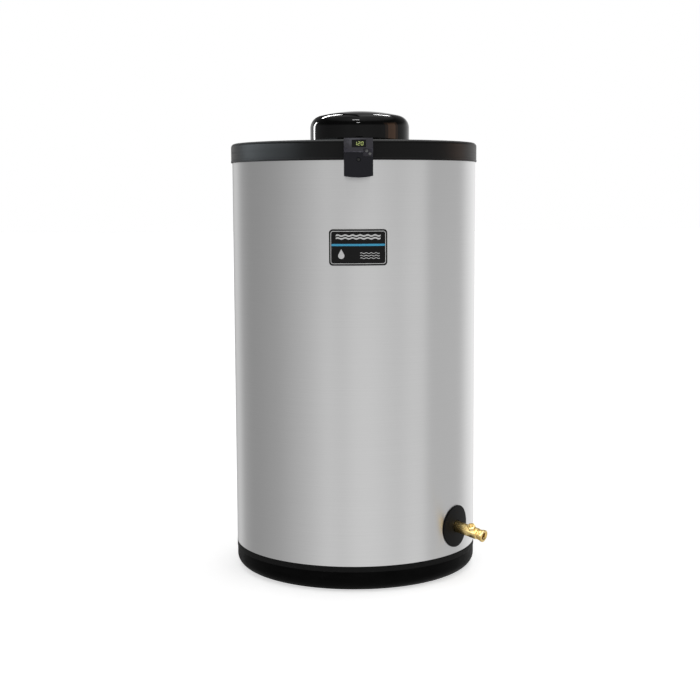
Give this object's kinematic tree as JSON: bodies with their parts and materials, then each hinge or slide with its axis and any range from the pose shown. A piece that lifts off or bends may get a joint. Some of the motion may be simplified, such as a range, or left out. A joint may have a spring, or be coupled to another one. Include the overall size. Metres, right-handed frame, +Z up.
{
  "type": "indirect-fired storage water heater",
  "caption": "Upright cylindrical storage water heater with a steel jacket, black lid and base, a domed access cover, a front temperature control and a brass drain cock.",
  "frame": {"origin": "centre of the base pan's underside, on the floor and on the tank's axis", "axes": "+Z up along the tank's axis; the front, with the temperature control and badge, faces -Y; the drain cock stands out between -Y and +X"},
  "size_m": [0.6023, 0.6515, 1.1134],
  "materials": {
    "stainless_steel": "satin",
    "jacket_sheet": "satin",
    "zinc_plated_steel": "satin",
    "cast_brass": "polished",
    "black_plastic": "satin",
    "gloss_black_plastic": "gloss",
    "grey_plastic": "satin",
    "black_rubber": "matte",
    "insulating_foam": "matte",
    "white_seat": "satin",
    "display_glass": "gloss",
    "circuit_board": "matte",
    "badge_foil": "satin"
  },
  "bodies": {
    "heater": {"access_bolt_1": "zinc_plated_steel", "access_bolt_2": "zinc_plated_steel", "access_bolt_3": "zinc_plated_steel", "access_bolt_4": "zinc_plated_steel", "access_bolt_5": "zinc_plated_steel", "access_bolt_6": "zinc_plated_steel", "access_cover_plate": "stainless_steel", "access_gasket": "black_rubber", "badge_face": "badge_foil", "badge_plate": "grey_plastic", "base_pan": "black_plastic", "boiler_return_coupling": "stainless_steel", "boiler_return_plate": "black_plastic", "boiler_supply_coupling": "stainless_steel", "boiler_supply_plate": "black_plastic", "bottom_insulation_pad": "insulating_foam", "cable_grommet": "black_rubber", "circuit_board": "circuit_board", "coil_support_1": "stainless_steel", "coil_support_2": "stainless_steel", "coil_support_3": "stainless_steel", "cold_inlet_coupling": "stainless_steel", "cold_inlet_plate": "black_plastic", "cold_inlet_tube": "stainless_steel", "control_back_box": "grey_plastic", "control_bracket": "zinc_plated_steel", "control_cover": "grey_plastic", "control_cover_screw": "zinc_plated_steel", "display_head": "grey_plastic", "display_module": "circuit_board", "display_window": "display_glass", "drain_coupling": "stainless_steel", "drain_packing_nut": "cast_brass", "drain_plate": "black_plastic", "drain_seat_inner": "white_seat", "drain_seat_outer": "white_seat", "drain_valve_body": "cast_brass", "foam_insulation": "insulating_foam", "heating_coil": "stainless_steel", "hot_outlet_coupling": "stainless_steel", "hot_outlet_plate": "black_plastic", "hot_outlet_tube": "stainless_steel", "jacket": "jacket_sheet", "relief_valve_coupling": "stainless_steel", "relief_valve_plate": "black_plastic", "sensor_cable": "black_rubber", "sensor_probe": "stainless_steel", "support_ring": "stainless_steel", "tank_shell": "stainless_steel", "terminal_block": "circuit_board", "thermowell": "cast_brass", "top_lid": "black_plastic"},
    "dome": {"dome_cover": "gloss_black_plastic"},
    "drain_spindle": {"drain_stem": "cast_brass", "drain_ball": "cast_brass"},
    "up_button": {"button_up": "black_rubber"},
    "down_button": {"button_down": "black_rubber"}
  },
  "joints": [
    {"name": "cover_lift", "type": "slide", "parent": "heater", "child": "dome", "axis": [0, 0, 1], "range_m": [0, 0.15]},
    {"name": "drain_turn", "type": "hinge", "parent": "heater", "child": "drain_spindle", "pos_m": [0.27118, -0.20883, 0.11817], "axis": [-0.2373, -0.5412, 0.8067], "range_deg": [0, 90]},
    {"name": "up_press", "type": "slide", "parent": "heater", "child": "up_button", "axis": [0, 1, 0], "range_m": [0, 0.001], "stiffness_N_per_m": 400},
    {"name": "down_press", "type": "slide", "parent": "heater", "child": "down_button", "axis": [0, 1, 0], "range_m": [0, 0.001], "stiffness_N_per_m": 400}
  ]
}
